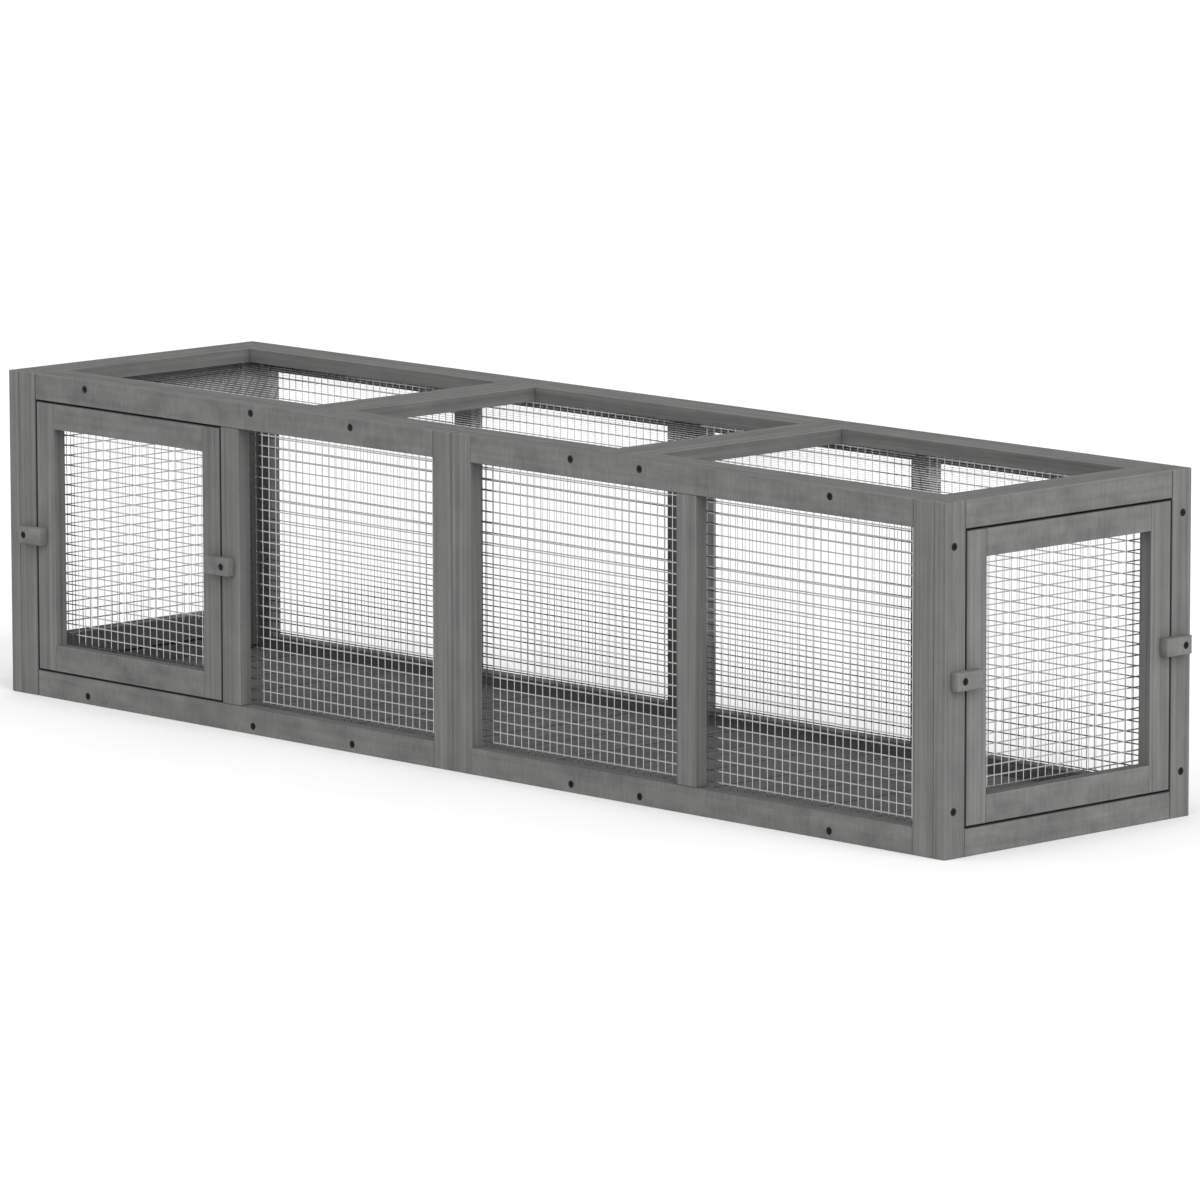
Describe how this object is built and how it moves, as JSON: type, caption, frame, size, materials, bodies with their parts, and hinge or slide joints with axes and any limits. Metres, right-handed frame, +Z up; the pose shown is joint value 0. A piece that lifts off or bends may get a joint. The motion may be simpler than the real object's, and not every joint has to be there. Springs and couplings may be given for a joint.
{
  "type": "outdoor cat tunnel",
  "caption": "Long wooden cat tunnel of framed wire-mesh panels with a mesh roof, plank floor and lift-out doors held by turn buttons.",
  "frame": {"origin": "centre of the frame's footprint, on the ground", "axes": "+X along the tunnel to its right end, -Y towards the front wall with the side door, +Z up"},
  "size_m": [1.6246, 0.4123, 0.4],
  "materials": {
    "grey_wood": "grey stain, satin",
    "floor_board": "grey stain, matt",
    "mesh_wire": "galvanised",
    "black_screw": "black oxide"
  },
  "bodies": {
    "frame": {"back_left_wall_bottom_rail": "grey_wood", "back_left_wall_mesh": "mesh_wire", "back_left_wall_mid_stile": "grey_wood", "back_left_wall_stiles": "grey_wood", "back_left_wall_top_rail": "grey_wood", "back_right_wall_bottom_rail": "grey_wood", "back_right_wall_mesh": "mesh_wire", "back_right_wall_mid_stile": "grey_wood", "back_right_wall_stiles": "grey_wood", "back_right_wall_top_rail": "grey_wood", "end_screws": "black_screw", "floor_left": "floor_board", "floor_middle": "floor_board", "floor_right": "floor_board", "front_door_stops": "grey_wood", "front_left_wall_bottom_rail": "grey_wood", "front_left_wall_mesh": "mesh_wire", "front_left_wall_mid_stile": "grey_wood", "front_left_wall_stiles": "grey_wood", "front_left_wall_top_rail": "grey_wood", "front_right_wall_bottom_rail": "grey_wood", "front_right_wall_mesh": "mesh_wire", "front_right_wall_mid_stile": "grey_wood", "front_right_wall_stiles": "grey_wood", "front_right_wall_top_rail": "grey_wood", "left_door_stops": "grey_wood", "left_end_bottom_rail": "grey_wood", "left_end_stiles": "grey_wood", "left_end_top_rail": "grey_wood", "pivot_screws": "black_screw", "right_door_stops": "grey_wood", "right_end_bottom_rail": "grey_wood", "right_end_stiles": "grey_wood", "right_end_top_rail": "grey_wood", "roof_left_end_rails": "grey_wood", "roof_left_mesh": "mesh_wire", "roof_left_side_rails": "grey_wood", "roof_middle_end_rails": "grey_wood", "roof_middle_mesh": "mesh_wire", "roof_middle_side_rails": "grey_wood", "roof_right_end_rails": "grey_wood", "roof_right_mesh": "mesh_wire", "roof_right_side_rails": "grey_wood", "wall_screws": "black_screw"},
    "front_door": {"front_door_stiles": "grey_wood", "front_door_rails": "grey_wood", "front_door_mesh": "mesh_wire"},
    "left_door": {"left_door_stiles": "grey_wood", "left_door_rails": "grey_wood", "left_door_mesh": "mesh_wire"},
    "right_door": {"right_door_stiles": "grey_wood", "right_door_rails": "grey_wood", "right_door_mesh": "mesh_wire"},
    "front_door_button_left": {"front_door_button_left": "grey_wood"},
    "front_door_button_right": {"front_door_button_right": "grey_wood"},
    "left_door_button_front": {"left_door_button_front": "grey_wood"},
    "left_door_button_back": {"left_door_button_back": "grey_wood"},
    "right_door_button_front": {"right_door_button_front": "grey_wood"},
    "right_door_button_back": {"right_door_button_back": "grey_wood"}
  },
  "joints": [
    {"name": "front_door_lift_out", "type": "slide", "parent": "frame", "child": "front_door", "axis": [0, -1, 0], "range_m": [0, 0.4]},
    {"name": "left_door_lift_out", "type": "slide", "parent": "frame", "child": "left_door", "axis": [-1, 0, 0], "range_m": [0, 0.4]},
    {"name": "right_door_lift_out", "type": "slide", "parent": "frame", "child": "right_door", "axis": [1, 0, 0], "range_m": [0, 0.4]},
    {"name": "front_door_button_left_turn", "type": "hinge", "parent": "frame", "child": "front_door_button_left", "pos_m": [-0.762, -0.2, 0.2], "axis": [0, -1, 0], "range_deg": [-90, 90]},
    {"name": "front_door_button_right_turn", "type": "hinge", "parent": "frame", "child": "front_door_button_right", "pos_m": [-0.395, -0.2, 0.2], "axis": [0, -1, 0], "range_deg": [-90, 90]},
    {"name": "left_door_button_front_turn", "type": "hinge", "parent": "frame", "child": "left_door_button_front", "pos_m": [-0.8, -0.18, 0.2], "axis": [-1, 0, 0], "range_deg": [-90, 90]},
    {"name": "left_door_button_back_turn", "type": "hinge", "parent": "frame", "child": "left_door_button_back", "pos_m": [-0.8, 0.18, 0.2], "axis": [-1, 0, 0], "range_deg": [-90, 90]},
    {"name": "right_door_button_front_turn", "type": "hinge", "parent": "frame", "child": "right_door_button_front", "pos_m": [0.8, -0.18, 0.2], "axis": [1, 0, 0], "range_deg": [-90, 90]},
    {"name": "right_door_button_back_turn", "type": "hinge", "parent": "frame", "child": "right_door_button_back", "pos_m": [0.8, 0.18, 0.2], "axis": [1, 0, 0], "range_deg": [-90, 90]}
  ]
}
